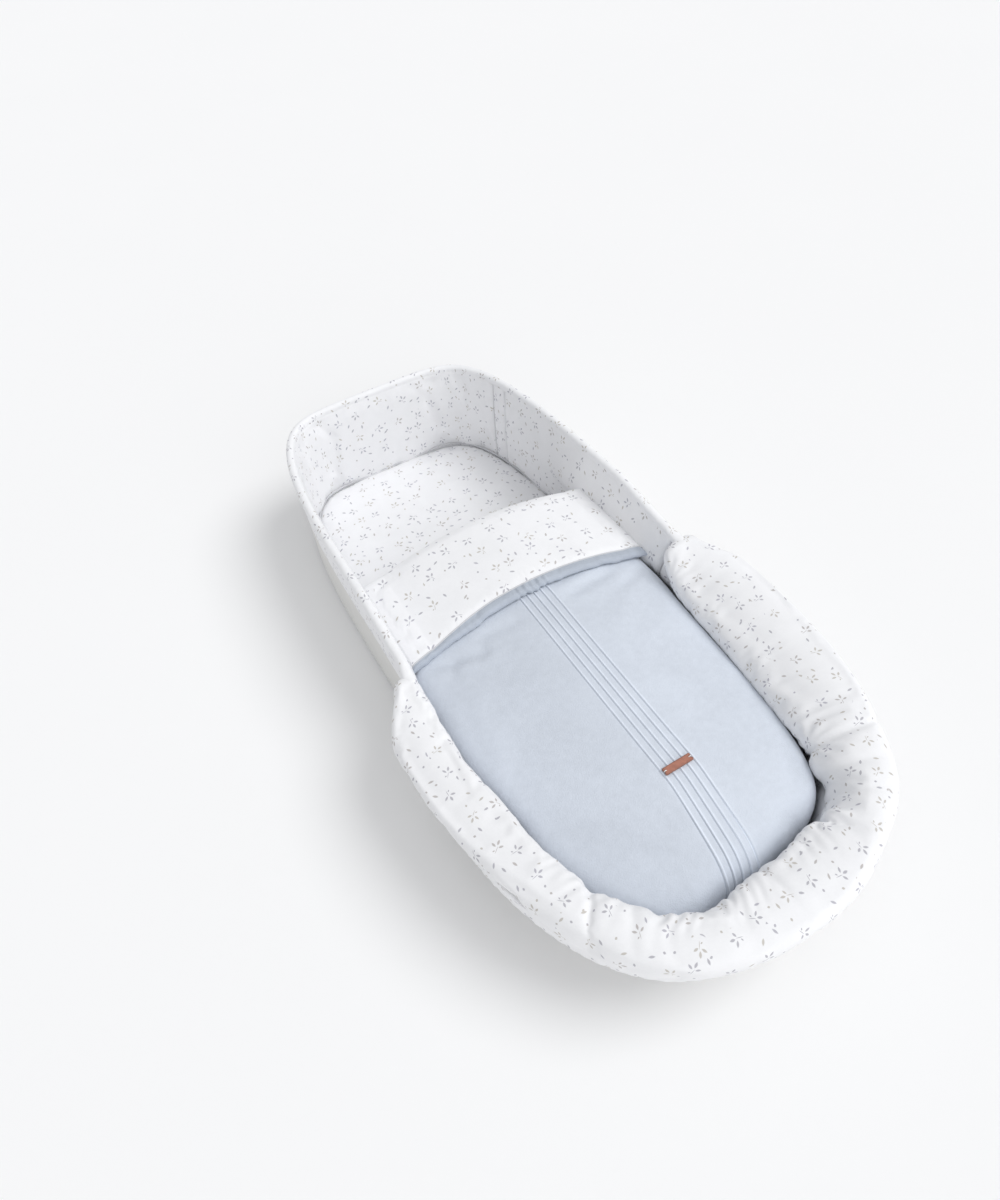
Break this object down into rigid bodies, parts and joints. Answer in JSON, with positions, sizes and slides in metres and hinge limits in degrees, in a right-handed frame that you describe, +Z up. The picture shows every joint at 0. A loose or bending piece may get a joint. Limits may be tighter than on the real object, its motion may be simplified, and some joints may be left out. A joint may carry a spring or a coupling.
{
  "type": "pram footmuff",
  "caption": "Carrycot footmuff: padded printed liner with a stuffed rim roll, zip-on leather-look cover with pintucks and a fold-over cuff.",
  "frame": {"origin": "under the middle of the liner's length and width, on the surface that it stands on", "axes": "+Y to the head end along the length, +X to the right of someone at the foot end, +Z up"},
  "size_m": [0.4574, 0.8878, 0.1573],
  "materials": {
    "print_cotton": "woven cotton with a small printed sprig",
    "wadding": "polyester wadding, unseen inside",
    "plain_cotton": "plain woven cotton",
    "blue_microfibre": "matt leather-look microfibre with a fine grain",
    "zip_tape": "woven tape and nylon coil",
    "leather_label": "thin tan leather, bare",
    "label_thread": "cotton thread",
    "zip_metal": "satin metal"
  },
  "bodies": {
    "liner": {"base_backing": "plain_cotton", "base_piping": "plain_cotton", "foot_wall_backing": "plain_cotton", "left_wall_backing": "plain_cotton", "right_wall_backing": "plain_cotton", "head_wall_backing": "plain_cotton", "skirt_elastic": "plain_cotton", "base_wadding": "wadding", "foot_wall_wadding": "wadding", "left_wall_wadding": "wadding", "right_wall_wadding": "wadding", "head_wall_wadding": "wadding", "foot_roll_filling": "wadding", "left_roll_filling": "wadding", "right_roll_filling": "wadding", "foot_end_wadding": "wadding", "base_top_cloth": "print_cotton", "foot_wall_face": "print_cotton", "left_wall_face": "print_cotton", "right_wall_face": "print_cotton", "head_wall_face": "print_cotton", "left_corner_strip": "print_cotton", "right_corner_strip": "print_cotton", "wall_binding": "print_cotton", "foot_roll_cloth": "print_cotton", "left_roll_cloth": "print_cotton", "right_roll_cloth": "print_cotton", "rim_skirt": "print_cotton", "foot_end_lining": "print_cotton", "foot_end_outer": "blue_microfibre", "foot_end_tape": "zip_tape", "left_liner_tape": "zip_tape", "left_liner_coil": "zip_tape", "right_liner_tape": "zip_tape", "right_liner_coil": "zip_tape", "left_zip_stop": "zip_metal", "right_zip_stop": "zip_metal"},
    "cover": {"cover_outer": "blue_microfibre", "cover_wadding": "wadding", "cover_lining": "print_cotton", "leather_label": "leather_label", "left_label_stitch": "label_thread", "right_label_stitch": "label_thread", "left_cover_tape": "zip_tape", "left_cover_coil": "zip_tape", "right_cover_tape": "zip_tape", "right_cover_coil": "zip_tape"},
    "cuff": {"cuff_face": "print_cotton", "cuff_wadding": "wadding", "cuff_back": "blue_microfibre", "cuff_border": "blue_microfibre", "cuff_piping": "zip_tape"},
    "left_slider": {"left_slider": "zip_metal"},
    "right_slider": {"right_slider": "zip_metal"},
    "left_puller": {"left_puller": "zip_metal"},
    "right_puller": {"right_puller": "zip_metal"}
  },
  "joints": [
    {"name": "cover_open", "type": "hinge", "parent": "liner", "child": "cover", "pos_m": [0, -0.33565, 0.1094], "axis": [1, 0, 0], "range_deg": [0, 140]},
    {"name": "cuff_fold", "type": "hinge", "parent": "cover", "child": "cuff", "pos_m": [0, 0.13635, 0.1217], "axis": [-1, 0, 0], "range_deg": [0, 165]},
    {"name": "left_zip_slide", "type": "slide", "parent": "liner", "child": "left_slider", "axis": [0, -1, 0], "range_m": [0, 0.16]},
    {"name": "right_zip_slide", "type": "slide", "parent": "liner", "child": "right_slider", "axis": [0, -1, 0], "range_m": [0, 0.16]},
    {"name": "left_puller_swing", "type": "hinge", "parent": "left_slider", "child": "left_puller", "pos_m": [-0.1575, -0.04115, 0.0485], "axis": [1, 0, 0], "range_deg": [0, 150]},
    {"name": "right_puller_swing", "type": "hinge", "parent": "right_slider", "child": "right_puller", "pos_m": [0.1575, -0.04115, 0.0485], "axis": [1, 0, 0], "range_deg": [0, 150]}
  ]
}
